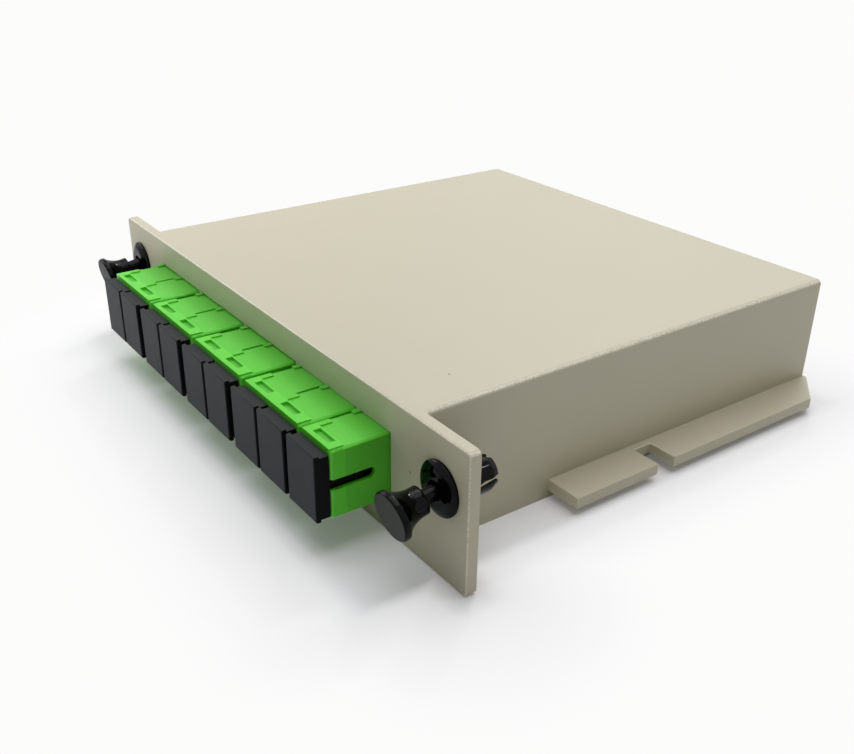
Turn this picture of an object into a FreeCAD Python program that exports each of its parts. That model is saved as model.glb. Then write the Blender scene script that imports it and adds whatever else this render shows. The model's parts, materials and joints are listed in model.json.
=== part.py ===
import FreeCAD, Part
import math
import os
import re

import Sketcher
from FreeCAD import Placement, Rotation, Vector

# A plug-in fibre splitter cassette. All sizes are in millimetres. The faceplate lies in
# the XZ plane with its length along X, the box reaches back along +Y and Z is up. The
# origin is the middle of the footprint, on the surface that the cassette stands on.

# Driving sizes, each written once
SIZES = {
    # Faceplate with its two ears
    "plate_length": 130.0,
    "plate_height": 25.0,
    "plate_thick": 2.0,
    "plate_corner": 1.0,
    "plate_edge": 0.4,
    # Box moulded on the back of the faceplate
    "box_width": 102.8,
    "box_depth": 98.0,
    "box_wall": 2.0,
    "box_roof": 2.0,
    "box_edge": 1.0,
    "corner_extra": 0.1,
    # Guide rails along both sides
    "rail_width": 7.3,
    "rail_start": 28.3,
    "rail_level": 1.4,
    "rail_thick": 2.3,
    "rail_taper": 8.0,
    "rail_tip": 0.8,
    "rail_end": 0.4,
    "notch_start": 48.0,
    "notch_width": 4.1,
    "notch_depth": 6.0,
    # Bottom cover, its screws and the posts that they bite in
    "cover_thick": 1.6,
    "cover_gap": 0.2,
    "post_radius": 2.4,
    "post_inset": 2.2,
    "post_front": 50.0,
    "post_back": 5.5,
    "pilot_gap": 0.05,
    "pilot_depth": 9.0,
    "screw_radius": 1.0,
    "screw_length": 8.0,
    "screw_head_radius": 1.6,
    "screw_head_thick": 0.8,
    "screw_play": 0.2,
    # Row of adapters, four double ones and a single one
    "port_level": 13.0,
    "row_gap_share": 0.108,
    "single_gap": 0.75,
    "cell_width": 9.5,
    "single_width": 9.0,
    "adapter_height": 12.2,
    "adapter_reach": 10.7,
    "adapter_rear": 14.0,
    "adapter_edge": 0.35,
    "window_gap": 0.1,
    "port_width": 7.4,
    "port_height": 9.2,
    # Relief on the adapters
    "key_width": 1.9,
    "key_reach": 8.0,
    "key_sink": 1.1,
    "band_depth": 2.65,
    "band_rise": 0.3,
    "strip_width": 1.15,
    "strip_reach": 5.0,
    "stop_depth": 1.5,
    "mark_left": 1.8,
    "mark_width": 4.7,
    "mark_depth": 1.35,
    "mark_back": 0.35,
    "seam_width": 0.6,
    "seam_depth": 0.6,
    "snap_width": 5.0,
    "snap_rise": 0.6,
    "snap_length": 3.0,
    # Latch insert in the middle of every port
    "insert_play": 0.1,
    "insert_thick": 2.6,
    "barrel_wall": 0.55,
    "barrel_length": 12.4,
    "arm_width": 3.4,
    "arm_thick": 0.7,
    "arm_play": 0.15,
    "arm_length": 8.2,
    "hook_rise": 0.4,
    "hook_length": 0.9,
    # Split sleeve and ferrule
    "sleeve_gap": 0.05,
    "sleeve_wall": 0.34,
    "sleeve_length": 11.4,
    "sleeve_slit": 0.5,
    "ferrule_play": 0.01,
    "ferrule_radius": 1.25,
    "ferrule_gap": 0.1,
    # Dust caps
    "cap_inset": 0.35,
    "cap_height": 11.8,
    "cap_head": 1.7,
    "cap_lip": 0.9,
    "cap_step": 0.4,
    "cap_edge": 0.35,
    "cap_gap": 0.2,
    "cap_plug_play": 0.2,
    "cap_hook_gap": 0.15,
    "cap_plug_length": 6.7,
    "cap_barrel_gap": 0.2,
    "cap_wall": 1.0,
    # Plugs inside the box
    "grip_play": 0.1,
    "grip_rise_gap": 0.15,
    "grip_nose": 3.3,
    "grip_length": 26.0,
    "grip_slot_play": 0.3,
    "grip_slot_length": 10.0,
    "grip_hook_gap": 0.1,
    "grip_barrel_gap": 0.25,
    "grip_end_gap": 0.7,
    "key_play": 0.2,
    "key_rise": 0.5,
    "boot_radius": 1.6,
    "boot_length": 12.0,
    # Splitter module and the fibres
    "module_length": 53.0,
    "module_depth": 10.0,
    "module_height": 4.0,
    "module_left": 31.0,
    "module_back": 8.0,
    "module_edge": 0.6,
    "seal_length": 2.5,
    "seal_inset": 0.4,
    "fibre_radius": 0.45,
    "fibre_pitch": 1.1,
    "fibre_gap": 0.3,
    "fibre_fall": 28.0,
    "fibre_slant": 6.0,
    # Saddles and bend guide on the cover
    "saddle_thick": 2.0,
    "saddle_wall": 1.5,
    "saddle_play": 0.1,
    "saddle_pitch": 18.0,
    "guide_gap": 0.75,
    "guide_wall": 1.2,
    "guide_rise": 3.0,
    # Push-pull latches in the ears
    "latch_level": 16.0,
    "latch_droop": 11.0,
    "latch_travel": 1.8,
    "latch_stop_gap": 0.1,
    "latch_gap": 0.1,
    "flange_radius": 4.6,
    "flange_thick": 1.2,
    "flange_rim": 0.45,
    "boss_radius": 2.8,
    "leg_radius": 3.1,
    "leg_reach": 9.0,
    "leg_tip": 2.5,
    "leg_taper": 1.5,
    "leg_wall": 0.6,
    "leg_bump": 0.35,
    "leg_bump_length": 1.8,
    "leg_slot": 1.0,
    "neck_length": 1.4,
    "stem_radius": 1.3,
    "stem_head": 1.75,
    "stem_head_length": 0.7,
    "stem_point": 1.2,
    "stem_point_length": 1.2,
    "stem_gap": 0.1,
    "stem_play": 0.05,
    "knob_reach": 9.2,
    "knob_radius": 4.1,
    "knob_rim": 1.0,
    "knob_round": 0.45,
    "collar_radius": 2.4,
    "collar_length": 1.1,
    "flare_radius": 5.2,
}

DUPLEX_COUNT = 4

# How near an edge has to lie to a place to be taken for one that lies there, and the least
# volume that a pocket has to take away
NEAR = 1e-4
LEAST_CUT = 1e-6

# Places worked out from the driving sizes
BOX_END = "(plate_thick + box_depth)"
BOX_SIDE = "(box_width / 2)"
BOX_CORNER = "(box_edge + corner_extra)"
INNER_SIDE = "(box_width / 2 - box_wall)"
INNER_END = f"({BOX_END} - box_wall)"
CEILING = "(plate_height - box_roof)"
CAP_REACH = "(adapter_reach + cap_gap + cap_head + cap_lip)"
FRONT_SHIFT = f"(-({BOX_END} - {CAP_REACH}) / 2)"
LATCH_PLACE = f"((plate_length / 2 + {BOX_SIDE}) / 2)"
MIDDLE = "((adapter_rear - adapter_reach) / 2)"

# The row's gaps take their share of the width that the adapters leave inside the box
ROW_GAP = f"((2 * {INNER_SIDE} - {2 * DUPLEX_COUNT} * cell_width - single_width) * row_gap_share)"
ROW_PITCH = f"(2 * cell_width + {ROW_GAP})"
ROW_HALF = f"(({DUPLEX_COUNT} * {ROW_PITCH} + single_width) / 2)"

# What nests around a ferrule, from the inside out
SLEEVE_BORE = "(ferrule_radius + ferrule_play)"
SLEEVE_RADIUS = f"({SLEEVE_BORE} + sleeve_wall)"
BARREL_BORE = f"({SLEEVE_RADIUS} + sleeve_gap)"
BARREL_RADIUS = f"({BARREL_BORE} + barrel_wall)"

# How far the arms' outer sides, their inner sides and their hooks lie from a port's middle
ARM_OUTER = "(port_height / 2 - arm_play)"
ARM_INNER = f"({ARM_OUTER} - arm_thick)"
HOOK_LEVEL = f"({ARM_INNER} - hook_rise)"

GRIP_START = f"({MIDDLE} + grip_nose)"
GRIP_END = f"({GRIP_START} + grip_length)"
GRIP_FLOOR = f"({MIDDLE} + barrel_length / 2 + grip_end_gap)"
BOOT_END = f"({GRIP_END} + boot_length)"
MODULE_PLACE = f"({INNER_END} - module_back)"

# A drawn-out plunger droops about the middle of its grommet's neck, and slides along its own
# stem. The bores and the collar leave it free to do so.
LEAN = "(latch_droop * 1 deg)"
HALF_NECK = "((neck_length + flange_thick) / 2)"
PIVOT = "((neck_length - flange_thick) / 2)"
HEAD_START = f"(({HALF_NECK} + stem_gap + stem_head * sin({LEAN})) / cos({LEAN}))"
HEAD_END = f"({HEAD_START} + stem_head_length)"
STEM_END = f"({HEAD_END} + stem_point_length)"
COLLAR_BACK = (f"(-({HALF_NECK} + latch_stop_gap + collar_radius * sin({LEAN})) / cos({LEAN})"
               " - latch_travel)")
NECK_BORE = f"(stem_radius / cos({LEAN}) + {HALF_NECK} * tan({LEAN}) + stem_play)"
LEG_BORE = f"(({HEAD_END} + latch_travel) * sin({LEAN}) + stem_head * cos({LEAN}) + stem_play)"
BORE_END = f"({PIVOT} + ({STEM_END} + latch_travel) * cos({LEAN}))"
FLANGE_ROUND = "(2 * (flange_radius - boss_radius))"

document = FreeCAD.newDocument("fibre_splitter")
sheet = document.addObject("Spreadsheet::Sheet", "Sizes")
for row, (alias, number) in enumerate(SIZES.items(), start=1):
    sheet.set(f"A{row}", alias)
    sheet.set(f"B{row}", str(number))
    sheet.setAlias(f"B{row}", alias)
document.recompute()

sub_parts = []
bend_radii = []


# Expressions over the sheet

def bound(text):
    """Give every size that an expression names its sheet."""
    return re.sub(r"[a-z_]+", lambda word: f"Sizes.{word[0]}" if word[0] in SIZES else word[0], text)


def size(text):
    """The present value of an expression, for first positions and for choosing edges."""
    return float(document.Sizes.evalExpression(bound(text)))


# Sketches

def sketch_on(body, name, plane, start):
    """A sketch on one of the body's own planes, moved along the plane's axis to start."""
    sketch = body.newObject("Sketcher::SketchObject", name)
    origin = next(item for item in body.Origin.OriginFeatures if item.Role == plane)
    sketch.AttachmentSupport = [(origin, "")]
    sketch.MapMode = "FlatFace"
    sign = "-" if plane == "XZ_Plane" else ""
    sketch.setExpression("AttachmentOffset.Base.z", bound(f"{sign}({start})"))
    return sketch


def pin(sketch, edge, end, across, up):
    """Hold one end of an edge at its two coordinates."""
    for kind, text in (("DistanceX", across), ("DistanceY", up)):
        rule = Sketcher.Constraint(kind, -1, 1, edge, end, size(text))
        sketch.setExpression(f"Constraints[{sketch.addConstraint(rule)}]", bound(text))


def arc_between(start, end, radius, side):
    """An arc from start to end whose centre lies on the given side of the chord."""
    chord = end - start
    normal = Vector(-chord.y, chord.x, 0).normalize() * side
    centre = (start + end) * 0.5 + normal * math.sqrt(max(radius ** 2 - chord.Length ** 2 / 4, 0))
    first, last = (start, end) if side > 0 else (end, start)
    angles = [math.atan2(point.y - centre.y, point.x - centre.x) for point in (first, last)]
    return Part.ArcOfCircle(Part.Circle(centre, Vector(0, 0, 1), radius), *angles)


def outline(sketch, corners):
    """A closed outline. A corner is (x, y), or (x, y, radius, side) where an arc leaves it."""
    points = [Vector(size(corner[0]), size(corner[1]), 0) for corner in corners]
    first = sketch.GeometryCount
    ends = []
    for corner, start, end in zip(corners, points, points[1:] + points[:1]):
        if len(corner) == 2:
            sketch.addGeometry(Part.LineSegment(start, end))
            ends.append((1, 2))
        else:
            sketch.addGeometry(arc_between(start, end, size(corner[2]), corner[3]))
            ends.append((1, 2) if corner[3] > 0 else (2, 1))
    for index, corner in enumerate(corners):
        following = (index + 1) % len(corners)
        joint = (first + index, ends[index][1], first + following, ends[following][0])
        sketch.addConstraint(Sketcher.Constraint("Coincident", *joint))
        pin(sketch, first + index, ends[index][0], corner[0], corner[1])
        if len(corner) > 2:
            rule = Sketcher.Constraint("Radius", first + index, size(corner[2]))
            sketch.setExpression(f"Constraints[{sketch.addConstraint(rule)}]", bound(corner[2]))


def rectangle(sketch, left, bottom, right, top):
    outline(sketch, [(left, bottom), (right, bottom), (right, top), (left, top)])


def rounded_rectangle(sketch, left, bottom, right, top, radius):
    """A rectangle with a quarter arc at each corner."""
    outline(sketch, [
        (f"{left} + {radius}", bottom),
        (f"{right} - {radius}", bottom, radius, 1),
        (right, f"{bottom} + {radius}"),
        (right, f"{top} - {radius}", radius, 1),
        (f"{right} - {radius}", top),
        (f"{left} + {radius}", top, radius, 1),
        (left, f"{top} - {radius}"),
        (left, f"{bottom} + {radius}", radius, 1),
    ])


def circle(sketch, across, up, radius):
    centre = Vector(size(across), size(up), 0)
    index = sketch.addGeometry(Part.Circle(centre, Vector(0, 0, 1), size(radius)))
    pin(sketch, index, 3, across, up)
    rule = Sketcher.Constraint("Radius", index, size(radius))
    sketch.setExpression(f"Constraints[{sketch.addConstraint(rule)}]", bound(radius))


def round_slot(sketch, open_end, closed_end, level, width):
    """A slot along the sketch's X, square at its open end and round at its closed end."""
    toward = 1 if size(closed_end) > size(open_end) else -1
    sign = "-" if toward > 0 else "+"
    shoulder = f"{closed_end} {sign} {width} / 2"
    outline(sketch, [
        (open_end, f"{level} - {width} / 2"),
        (shoulder, f"{level} - {width} / 2", f"{width} / 2", toward),
        (closed_end, level, f"{width} / 2", toward),
        (shoulder, f"{level} + {width} / 2"),
        (open_end, f"{level} + {width} / 2"),
    ])


# Features

def new_body(label):
    body = document.addObject("PartDesign::Body", label)
    body.Label = label
    return body


def prism(body, kind, name, plane, start, length, draw):
    """A Pad or Pocket of what draw puts in a sketch, from start along the plane's axis."""
    sketch = sketch_on(body, f"{name}_sketch", plane, start)
    draw(sketch)
    feature = body.newObject(f"PartDesign::{kind}", name)
    feature.Profile = sketch
    faces_along_axis = plane != "XZ_Plane"
    feature.Reversed = faces_along_axis if kind == "Pocket" else not faces_along_axis
    feature.setExpression("Length", bound(length))
    sketch.Visibility = False
    return feature


def turning(body, kind, name, corners):
    """A Revolution or Groove about the Y axis. Its corners are (radius, y)."""
    sketch = sketch_on(body, f"{name}_sketch", "XY_Plane", "0")
    outline(sketch, corners)
    feature = body.newObject(f"PartDesign::{kind}", name)
    feature.Profile = sketch
    feature.ReferenceAxis = (sketch, ["V_Axis"])
    feature.Angle = 360
    return feature


def dress(body, kind, name, feature, chosen, width):
    """A Fillet or Chamfer on the edges of feature that chosen accepts."""
    document.recompute()
    names = [f"Edge{n}" for n, edge in enumerate(feature.Shape.Edges, start=1) if chosen(edge)]
    dressing = body.newObject(f"PartDesign::{kind}", name)
    dressing.Base = (feature, names)
    dressing.setExpression("Radius" if kind == "Fillet" else "Size", bound(width))
    return dressing


def lies(edge, x=None, y=None, z=None):
    """Whether an edge lies at the given coordinates all along."""
    box = edge.BoundBox
    spans = ((x, box.XMin, box.XMax), (y, box.YMin, box.YMax), (z, box.ZMin, box.ZMax))
    return all(at is None or (abs(low - at) < NEAR and abs(high - at) < NEAR) for at, low, high in spans)


def moved(item, across="0", back="0", up="0"):
    """Bind an object's position to the sheet."""
    for axis, text in zip("xyz", (across, back, up)):
        item.setExpression(f"Placement.Base.{axis}", bound(text))
    return item


def finish(item, label, across="0", back="0", up="0"):
    """Name a finished sub-part and put it in its place."""
    item.Label = label
    sub_parts.append(moved(item, across, f"{back} + {FRONT_SHIFT}", up))
    return item


def copy_of(source, name, across="0", back="0", up="0"):
    """One more of a piece that is modelled once about its own origin, with a place of its own."""
    result = document.addObject("Part::Compound", name)
    result.Links = [source]
    return moved(result, across, back, up)


def drooping(item):
    """Turn an object about its own X axis, front end down, by the droop of a drawn-out plunger."""
    item.Placement = Placement(item.Placement.Base, Rotation(Vector(1, 0, 0), size("latch_droop")))
    item.setExpression("Placement.Rotation.Angle", bound(LEAN))
    return item


# Primitives for the plain inner pieces

def block(name, left, right, front, back, bottom, top):
    item = document.addObject("Part::Box", name)
    item.setExpression("Length", bound(f"{right} - ({left})"))
    item.setExpression("Width", bound(f"{back} - ({front})"))
    item.setExpression("Height", bound(f"{top} - ({bottom})"))
    return moved(item, left, front, bottom)


def rod(name, radius, front, back):
    """A cylinder along Y."""
    item = document.addObject("Part::Cylinder", name)
    item.Placement = Placement(Vector(0, 0, 0), Rotation(Vector(1, 0, 0), -90))
    item.setExpression("Radius", bound(radius))
    item.setExpression("Height", bound(f"{back} - ({front})"))
    return moved(item, back=front)


def cut(name, base, tools):
    """Take every tool away from base."""
    tool = tools[0]
    if len(tools) > 1:
        tool = document.addObject("Part::MultiFuse", f"{name}_tools")
        tool.Shapes = tools
    result = document.addObject("Part::Cut", name)
    result.Base = base
    result.Tool = tool
    return result


def group(name, items):
    """Keep like pieces together as separate solids."""
    result = document.addObject("Part::Compound", name)
    result.Links = items
    return result


# Where the ports are

def duplex_centre(number):
    return f"(cell_width + {number} * {ROW_PITCH} - {ROW_HALF})"


# The single adapter stands nearer to the last double one than these stand to each other
SINGLE_CENTRE = f"({duplex_centre(DUPLEX_COUNT - 1)} + cell_width + single_gap + single_width / 2)"

PORTS = [f"({duplex_centre(number)} {side} cell_width / 2)"
         for number in range(DUPLEX_COUNT) for side in "-+"]
PORTS.append(SINGLE_CENTRE)

# The first port is the input, and the others are outputs
OUTPUTS = len(PORTS) - 1

# The bundle of output fibres. It leaves the module, bends round a guide, goes towards the
# ports beside a screw post and turns. Each bend takes at most a share of the runs beside it.
RUN_SHARE = 0.45
END_SHARE = 0.9
BUNDLE = f"({OUTPUTS - 1} * fibre_pitch)"
MODULE_END = "(module_length - module_left + seal_length)"
BUNDLE_SIDE = f"({INNER_SIDE} - post_inset - post_radius - fibre_gap - fibre_radius)"
INNER_BEND = (f"min({RUN_SHARE} * (fibre_fall - 3 * {BUNDLE} / 2); "
              f"{END_SHARE} * ({BUNDLE_SIDE} - {BUNDLE} - {MODULE_END}))")
GUIDE_RADIUS = f"({INNER_BEND} - fibre_radius - guide_gap)"


# Housing

def rail_outline(sketch, sign):
    """One guide rail seen from above, with its catch notch and its tapered rear end."""
    root = f"{sign}{INNER_SIDE} {sign} box_wall / 2"
    outer = f"{sign}({BOX_SIDE} + rail_width)"
    floor = f"{sign}({BOX_SIDE} + rail_width - notch_depth)"
    outline(sketch, [
        (root, "rail_start"),
        (outer, "rail_start"),
        (outer, "notch_start"),
        (floor, "notch_start"),
        (floor, "notch_start + notch_width"),
        (outer, "notch_start + notch_width"),
        (outer, f"{BOX_END} - rail_taper"),
        (f"{sign}({BOX_SIDE} + rail_tip)", f"{BOX_END} - rail_end"),
        (root, f"{BOX_END} - {BOX_CORNER}"),
    ])


def post_places():
    """The four screw posts as (x, y)."""
    for sign in "-+":
        for back in ("post_front", f"{INNER_END} - post_back"):
            yield f"{sign}({INNER_SIDE} - post_inset)", back


def window(sketch, centre, width):
    half = f"({width} / 2 + window_gap)"
    rise = "(adapter_height / 2 + window_gap)"
    rectangle(sketch, f"{centre} - {half}", f"port_level - {rise}",
              f"{centre} + {half}", f"port_level + {rise}")


def windows(sketch):
    for number in range(DUPLEX_COUNT):
        window(sketch, duplex_centre(number), "(2 * cell_width)")
    window(sketch, SINGLE_CENTRE, "single_width")
    for sign in "-+":
        circle(sketch, f"{sign}{LATCH_PLACE}", "latch_level", "leg_radius + latch_gap")


def housing_shell():
    body = new_body("housing_shell")
    prism(body, "Pad", "faceplate", "XZ_Plane", "0", "plate_thick", lambda sketch: rounded_rectangle(
        sketch, "-plate_length / 2", "0", "plate_length / 2", "plate_height", "plate_corner"))
    box = prism(body, "Pad", "box", "XZ_Plane", "plate_thick", "box_depth", lambda sketch: rectangle(
        sketch, f"-{BOX_SIDE}", "0", BOX_SIDE, "plate_height"))
    side, end, top = size(BOX_SIDE), size(BOX_END), size("plate_height")
    corners = dress(body, "Fillet", "rear_corners", box, lambda edge: any(
        lies(edge, x=sign * side, y=end) for sign in (-1, 1)), BOX_CORNER)
    rim = dress(body, "Fillet", "top_edges", corners, lambda edge: lies(edge, z=top) and (
        lies(edge, y=end) or any(lies(edge, x=sign * side) for sign in (-1, 1))
        or edge.BoundBox.YMin > end - size(BOX_CORNER) - NEAR), "box_edge")
    for sign, name in (("-", "left_rail"), ("+", "right_rail")):
        prism(body, "Pad", name, "XY_Plane", "rail_level", "rail_thick",
              lambda sketch: rail_outline(sketch, sign))
    prism(body, "Pocket", "cavity", "XY_Plane", "0", CEILING, lambda sketch: rectangle(
        sketch, f"-{INNER_SIDE}", "plate_thick", INNER_SIDE, INNER_END))
    prism(body, "Pad", "screw_posts", "XY_Plane", "cover_thick", f"{CEILING} - cover_thick",
          lambda sketch: [circle(sketch, across, back, "post_radius") for across, back in post_places()])
    prism(body, "Pocket", "pilot_holes", "XY_Plane", "cover_thick", "pilot_depth",
          lambda sketch: [circle(sketch, across, back, "screw_radius + pilot_gap")
                          for across, back in post_places()])
    pierced = prism(body, "Pocket", "openings", "XZ_Plane", "0", "plate_thick", windows)
    straight, height = size("plate_length / 2 - plate_corner"), size("plate_height")
    dress(body, "Fillet", "plate_edges", pierced, lambda edge: lies(edge, y=0) and (
        lies(edge, z=0) or lies(edge, z=height) or abs(edge.BoundBox.Center.x) > straight), "plate_edge")
    return finish(body, "housing_shell")


def saddle_places():
    """The three saddles that carry the splitter module."""
    for step in (-1, 0, 1):
        yield f"(module_length / 2 - module_left + {step} * saddle_pitch)"


def saddle_outline(sketch):
    """A saddle seen along X: a web up to the module and a finger on each side of it."""
    inner = "(module_depth / 2 + saddle_play)"
    outer = f"({inner} + saddle_wall)"
    seat = "(port_level - module_height / 2)"
    crown = "(port_level + module_height / 2)"
    foot = "cover_thick / 2"
    outline(sketch, [
        (f"{MODULE_PLACE} - {outer}", foot),
        (f"{MODULE_PLACE} + {outer}", foot),
        (f"{MODULE_PLACE} + {outer}", crown),
        (f"{MODULE_PLACE} + {inner}", crown),
        (f"{MODULE_PLACE} + {inner}", seat),
        (f"{MODULE_PLACE} - {inner}", seat),
        (f"{MODULE_PLACE} - {inner}", crown),
        (f"{MODULE_PLACE} - {outer}", crown),
    ])


def bend_guide_ring(sketch):
    """The round guide inside the fibres' bend."""
    across = f"{BUNDLE_SIDE} - {BUNDLE} - {INNER_BEND}"
    back = f"{MODULE_PLACE} - {BUNDLE} / 2 - {INNER_BEND}"
    circle(sketch, across, back, GUIDE_RADIUS)
    circle(sketch, across, back, f"{GUIDE_RADIUS} - guide_wall")


def bottom_cover():
    body = new_body("bottom_cover")
    side = f"({INNER_SIDE} - cover_gap)"
    prism(body, "Pad", "cover_plate", "XY_Plane", "0", "cover_thick", lambda sketch: rectangle(
        sketch, f"-{side}", "plate_thick + cover_gap", side, f"{INNER_END} - cover_gap"))
    for number, place in enumerate(saddle_places(), start=1):
        prism(body, "Pad", f"saddle_{number}", "YZ_Plane", f"{place} - saddle_thick / 2", "saddle_thick",
              saddle_outline)
    prism(body, "Pad", "bend_guide", "XY_Plane", "cover_thick / 2",
          "port_level + guide_rise - cover_thick / 2", bend_guide_ring)
    prism(body, "Pocket", "screw_holes", "XY_Plane", "0", "cover_thick", lambda sketch: [
        circle(sketch, across, back, "screw_radius + screw_play") for across, back in post_places()])
    prism(body, "Pocket", "head_recesses", "XY_Plane", "0", "cover_thick / 2", lambda sketch: [
        circle(sketch, across, back, "screw_head_radius + screw_play") for across, back in post_places()])
    return finish(body, "bottom_cover")


def cover_screws():
    """Four flat-headed screws, upright in the cover's recesses."""
    head = document.addObject("Part::Cylinder", "screw_head")
    head.setExpression("Radius", bound("screw_head_radius"))
    head.setExpression("Height", bound("screw_head_thick"))
    shank = document.addObject("Part::Cylinder", "screw_shank")
    shank.setExpression("Radius", bound("screw_radius"))
    shank.setExpression("Height", bound("screw_length"))
    screw = document.addObject("Part::MultiFuse", "screw")
    screw.Shapes = [head, shank]
    screws = [copy_of(screw, f"screw_{number}", across, back, "cover_thick / 2 - screw_head_thick")
              for number, (across, back) in enumerate(post_places(), start=1)]
    return finish(group("cover_screws", screws), "cover_screws")


# Adapters

def adapter_relief(sketch, cells):
    """The raised front band and left strip on top of each cell, with its blank marking field."""
    front = "-adapter_reach"
    back = "(band_depth - adapter_reach)"
    for left, right in cells:
        strip_end = "(strip_reach - adapter_reach)"
        outline(sketch, [
            (left, front),
            (right, front),
            (right, back),
            (f"{left} + strip_width", back),
            (f"{left} + strip_width", strip_end),
            (left, strip_end),
        ])
        field_left = f"({left} + mark_left)"
        field_back = f"({back} - mark_back)"
        rectangle(sketch, field_left, f"{field_back} - mark_depth",
                  f"{field_left} + mark_width", field_back)


def adapter_stops(sketch, cells, mirrored):
    """The small stops that bear on the front of the faceplate."""
    for left, right in cells:
        if mirrored:
            rectangle(sketch, f"{right} - strip_width", "-stop_depth", right, "0")
        else:
            rectangle(sketch, left, "-stop_depth", f"{left} + strip_width", "0")


def snap_outline(sketch):
    """The snap ramps behind the faceplate, above and below."""
    for sign in "+-":
        surface = f"{sign}adapter_height / 2"
        outline(sketch, [
            ("plate_thick + window_gap / 2", f"{surface} {'-' if sign == '+' else '+'} seam_depth"),
            ("plate_thick + window_gap / 2", f"{surface} {sign} snap_rise"),
            ("plate_thick + snap_length", surface),
            ("plate_thick + snap_length", f"{surface} {'-' if sign == '+' else '+'} seam_depth"),
        ])


def adapter(label, cells):
    """One moulded adapter about its own middle, with its cells as (left, right)."""
    body = new_body(label)
    left_side, right_side = cells[0][0], cells[-1][1]
    half = "(adapter_height / 2)"
    case = prism(body, "Pad", f"{label}_case", "XZ_Plane", "-adapter_reach", "adapter_reach + adapter_rear",
                 lambda sketch: rectangle(sketch, left_side, f"-{half}", right_side, half))
    front, rear = size("-adapter_reach"), size("adapter_rear")
    sides, top = (size(left_side), size(right_side)), size(half)
    dress(body, "Chamfer", f"{label}_edges", case, lambda edge: (
        any(lies(edge, y=at) for at in (front, rear))
        or any(lies(edge, x=at) for at in sides) and edge.BoundBox.YLength > top), "adapter_edge")
    middles = [f"(({left}) + ({right})) / 2" for left, right in cells]
    prism(body, "Pad", f"{label}_relief", "XY_Plane", f"{half} - adapter_edge", "adapter_edge + band_rise",
          lambda sketch: adapter_relief(sketch, [(inset_edge(left, cells), right_edge(right, cells))
                                                 for left, right in cells]))
    prism(body, "Pad", f"{label}_upper_stops", "XY_Plane", f"{half} - adapter_edge",
          "adapter_edge + band_rise", lambda sketch: adapter_stops(sketch, cells, False))
    prism(body, "Pad", f"{label}_lower_stops", "XY_Plane", f"-({half}) - band_rise",
          "adapter_edge + band_rise", lambda sketch: adapter_stops(sketch, cells, True))
    for number, middle in enumerate(middles, start=1):
        prism(body, "Pad", f"{label}_snaps_{number}", "YZ_Plane", f"{middle} - snap_width / 2",
              "snap_width", snap_outline)
    prism(body, "Pocket", f"{label}_ports", "XZ_Plane", "-adapter_reach", "adapter_reach + adapter_rear",
          lambda sketch: [rectangle(sketch, f"{middle} - port_width / 2", "-port_height / 2",
                                    f"{middle} + port_width / 2", "port_height / 2") for middle in middles])
    for number, ((left, right), middle) in enumerate(zip(cells, middles), start=1):
        last = number == len(cells)
        reach = f"({right}) - ({middle})" if last else "port_width / 2 + key_sink"
        for end, open_end, closed_end in (
                ("front", "-adapter_reach - adapter_edge", "key_reach - adapter_reach"),
                ("rear", "adapter_rear + adapter_edge", "adapter_rear - key_reach")):
            prism(body, "Pocket", f"{label}_{end}_keyway_{number}", "YZ_Plane", middle, reach,
                  lambda sketch: round_slot(sketch, open_end, closed_end, "0", "key_width"))
    if len(cells) > 1:
        prism(body, "Pocket", f"{label}_seam", "XY_Plane", f"{half} - seam_depth", "seam_depth + band_rise",
              lambda sketch: rectangle(sketch, "-seam_width", "strip_reach - adapter_reach", "0", "0"))
    return body


def inset_edge(left, cells):
    """The relief's left side: flush between cells, inside the chamfer at the outer side."""
    return f"({left} + adapter_edge)" if left == cells[0][0] else f"({left})"


def right_edge(right, cells):
    return f"({right} - adapter_edge)" if right == cells[-1][1] else f"({right})"


def latch_insert():
    """The inner moulding of a port: a web, the sleeve's barrel and four latch arms."""
    body = new_body("latch_insert")
    prism(body, "Pad", "web", "XZ_Plane", "-insert_thick / 2", "insert_thick", lambda sketch: rectangle(
        sketch, "insert_play - port_width / 2", "insert_play - port_height / 2",
        "port_width / 2 - insert_play", "port_height / 2 - insert_play"))
    prism(body, "Pad", "barrel", "XZ_Plane", "-barrel_length / 2", "barrel_length",
          lambda sketch: circle(sketch, "0", "0", BARREL_RADIUS))
    prism(body, "Pad", "arms", "YZ_Plane", "-arm_width / 2", "arm_width", arm_outlines)
    prism(body, "Pocket", "sleeve_seat", "XZ_Plane", "-barrel_length / 2", "barrel_length",
          lambda sketch: circle(sketch, "0", "0", BARREL_BORE))
    return body


def arm_outlines(sketch):
    """Four hooked arms seen along X, two forward and two back."""
    for along in "-+":
        for up in "-+":
            outer, inner, hook = (f"{up}{level}" for level in (ARM_OUTER, ARM_INNER, HOOK_LEVEL))
            outline(sketch, [
                (f"{along}insert_thick / 4", outer),
                (f"{along}arm_length", outer),
                (f"{along}arm_length", inner),
                (f"{along}(arm_length - hook_length / 2)", hook),
                (f"{along}(arm_length - hook_length)", hook),
                (f"{along}(arm_length - hook_length)", inner),
                (f"{along}insert_thick / 4", inner),
            ])


def split_sleeves():
    """The nine slit alignment sleeves, one in the barrel of each insert."""
    half = "(sleeve_length / 2)"
    tube = rod("sleeve_tube", SLEEVE_RADIUS, f"-{half}", half)
    bore = rod("sleeve_hollow", SLEEVE_BORE, f"-{half}", half)
    slit = block("sleeve_slot", "-sleeve_slit / 2", "sleeve_slit / 2", f"-{half}", half,
                 "0", f"2 * {SLEEVE_RADIUS}")
    sleeve = cut("sleeve", tube, [bore, slit])
    return finish(group("split_sleeves", in_every_port(sleeve)), "split_sleeves", "0", MIDDLE, "port_level")


def in_every_port(piece):
    """Nine copies of a piece, one on the middle line of each port."""
    return [copy_of(piece, f"{piece.Name}_{number}", port) for number, port in enumerate(PORTS, start=1)]


# Dust caps

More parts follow.
